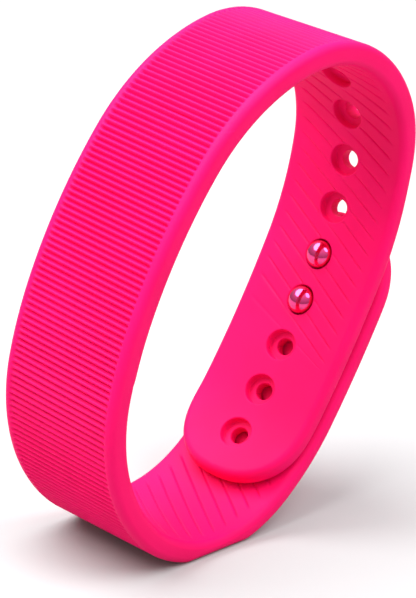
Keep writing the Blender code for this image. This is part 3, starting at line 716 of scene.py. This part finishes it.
slide = math.atan2(*[joints["capsule_slide"]["axis"][i] for i in (2, 0)])
polycarbonate = finish("textured_polycarbonate", "#1B1B1D", "#141416", 0.5, 0.2, 0.5)
brushed = finish("brushed_stainless", "#B9B8BA", "#A5A4A7", 0.3, 0.14, 0.35, metallic=1.0,
                 stretch=(1, 1, 0.04), turn=-slide)
elastomer = finish("black_elastomer", "#17171A", "#101013", 0.7, 0.25, 0.3)
gold = finish("gold_plate", "#E8C070", "#DDB25E", 0.22, 0.15, 0.1, metallic=1.0)

cover_rim = CAPSULE_OUTER - COVER_DEPTH
base_rim = cover_rim - GASKET_THICKNESS - 2 * JOINT_GAP
cover = capsule_plate(0.0, cover_rim, CAPSULE_OUTER, COVER_EDGE, edge_high=True)
combine(cover, capsule_plate(-2 * CAPSULE_WALL, 2 * cover_rim, CAPSULE_OUTER - CAPSULE_WALL))
base = capsule_plate(0.0, CAPSULE_INNER, base_rim, CAPSULE_EDGE)
combine(base, capsule_plate(-2 * CAPSULE_WALL, CAPSULE_INNER + BASE_FLOOR, 0.0))
gasket = capsule_plate(0.0, base_rim + JOINT_GAP, base_rim + JOINT_GAP + GASKET_THICKNESS)
combine(gasket, capsule_plate(-2 * GASKET_WIDTH, 4 * base_rim, 0.0))
contacts = [-CONTACT_SPACING, 0.0, CONTACT_SPACING]
for u in contacts:
    bore = rod(CONTACT_RADIUS + JOINT_GAP, 6 * MM, (0, 0, CAPSULE_INNER), 40)
    bore.transform(stand(CAPSULE_PLACE + u))
    combine(base, new_piece("bore", bore))
for shell, name, material in ((cover, "capsule_cover", polycarbonate),
                              (base, "capsule_base", brushed),
                              (gasket, "capsule_gasket", elastomer)):
    shell.name = shell.data.name = name + "_shell"
    shade(shell, material, HARD_CREASE)
    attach(shell, "capsule")
    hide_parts(name)

pin_low = CAPSULE_INNER - JOINT_GAP
pin_high = CAPSULE_INNER + BASE_FLOOR
pin_profile = [(0.0, pin_high), (CONTACT_RADIUS, pin_high)] + \
    rounded((CONTACT_RADIUS - CONTACT_EDGE, pin_low + CONTACT_EDGE), 0, -90, CONTACT_EDGE) + \
    [(0.0, pin_low)]
for number, u in enumerate(contacts, 1):
    pin = new_piece(f"charging_pin_{number}", turned(pin_profile, 40))
    pin.data.transform(stand(CAPSULE_PLACE + u))
    shade(pin, gold, HARD_CREASE)
    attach(pin, "capsule")
    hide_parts(f"charging_contact_{number}")

# ==== Inside the capsule =================================================================
# Battery pouch with its foam pad and leads, the board with its components, and the coin
# motor. They are hidden in use, and keep the shapes they were designed with.

inside = {
    "battery_pad": finish("foam_tape", "#343434", "#262626", 0.9, 0.5, 0.8),
    "battery_cell": finish("pouch_foil", "#C2C2C6", "#AEAEB3", 0.3, 0.8, 0.5, metallic=1.0),
    "battery_lead_positive": finish("red_wire_jacket", "#B3171B", "#9C1216", 0.4, 0.2, 0.1),
    "battery_lead_negative": finish("black_wire_jacket", "#141415", "#0D0D0E", 0.4, 0.2, 0.1),
    "circuit_board": finish("solder_mask", "#12603A", "#0B4A2C", 0.35, 0.4, 0.2, blotch=1.2),
    "chip_antenna": finish("fired_ceramic", "#DAD3C4", "#CFC7B6", 0.4, 0.2, 0.2),
    "status_led": finish("clear_resin", "#F3EFC0", "#E8E2AC", 0.2, 0.2, 0.05),
    "motor_rotor": finish("sintered_tungsten", "#6C6C70", "#5C5C60", 0.45, 0.12, 0.5, metallic=1.0),
}
epoxy = finish("moulded_epoxy", "#232325", "#1A1A1C", 0.55, 0.15, 0.4)
nickel = finish("nickel_can", "#B9B7B0", "#A9A7A0", 0.25, 0.15, 0.1, metallic=1.0)
drawn = finish("drawn_steel", "#B4B4B7", "#A2A2A6", 0.28, 0.15, 0.2, metallic=1.0,
               stretch=(1, 0.1, 1))
for name in ("radio_chip", "motion_sensor", "power_chip", "memory_chip"):
    inside[name] = epoxy
inside["clock_crystal"] = nickel
inside["motor_can"] = inside["motor_lid"] = drawn
for name, material in inside.items():
    node = frame["nodes"][name]
    node.data.materials.clear()
    node.data.materials.append(material)

# ==== Studio =============================================================================
# A plain pale floor and soft light: a large softbox overhead to the left, a smaller one from
# the front right, and a dome that is bright above and dim at the horizon.

FLOOR_SIZE = 3.0
HORIZON = 0.4
ZENITH = 1.2
KEY_PLACE, KEY_SIZE, KEY_POWER = (-0.19, 0.20, 0.61), 0.75, 9.8
FILL_PLACE, FILL_SIZE, FILL_POWER = (0.10, -0.30, 0.50), 0.40, 2.0
CAMERA_ANGLES = (-47.80, 21.50, 4.817)      # azimuth, elevation and roll in degrees
CAMERA_AIM = (-0.001054, 0, 0.031704)
CAMERA_DISTANCE = 0.368087
LENS = 169.07

floor_paint = finish("pale_floor", "#AFAFB0", "#ADADAE", 0.9, 2.0, 0.02, blotch=300.0,
                     Specular_IOR_Level=0.1)
bm = bmesh.new()
bmesh.ops.create_grid(bm, x_segments=1, y_segments=1, size=FLOOR_SIZE)
floor = new_piece("floor", bm)
floor.data.materials.append(floor_paint)

world = bpy.data.worlds.new("studio")
bpy.context.scene.world = world
world.use_nodes = True
sky = world.node_tree
direction = add(sky, "ShaderNodeTexCoord").outputs["Generated"]
height = add(sky, "ShaderNodeSeparateXYZ", (), {"Vector": direction})
dome_light = add(sky, "ShaderNodeMapRange",
                 {"From Min": 0.0, "From Max": 1.0, "To Min": HORIZON, "To Max": ZENITH},
                 {"Value": height.outputs["Z"]})
sky.nodes["Background"].inputs["Color"].default_value = tint("#FFFFFF")
sky.links.new(dome_light.outputs["Result"], sky.nodes["Background"].inputs["Strength"])


def softbox(name, place, target, size, power):
    lamp = bpy.data.lights.new(name, "AREA")
    lamp.shape = "DISK"
    lamp.size = size
    lamp.energy = power
    box = bpy.data.objects.new(name, lamp)
    box.location = place
    box.rotation_euler = (Vector(place) - Vector(target)).to_track_quat("Z", "Y").to_euler()
    bpy.context.scene.collection.objects.link(box)


middle = (0, 0, 0.035)
softbox("key", KEY_PLACE, middle, KEY_SIZE, KEY_POWER)
softbox("fill", FILL_PLACE, middle, FILL_SIZE, FILL_POWER)

camera = bpy.data.objects.new("camera", bpy.data.cameras.new("camera"))
bpy.context.scene.collection.objects.link(camera)
azimuth, elevation, roll = (math.radians(a) for a in CAMERA_ANGLES)
back = Vector((math.sin(azimuth) * math.cos(elevation), -math.cos(azimuth) * math.cos(elevation),
               math.sin(elevation)))
camera.location = Vector(CAMERA_AIM) + CAMERA_DISTANCE * back
level = back.to_track_quat("Z", "Y").to_matrix()
camera.rotation_euler = (level @ Matrix.Rotation(roll, 3, "Z")).to_euler()
camera.data.lens = LENS
camera.data.sensor_width = 36
camera.data.clip_start = 0.01
bpy.context.scene.camera = camera
bpy.context.scene.view_settings.view_transform = "Standard"
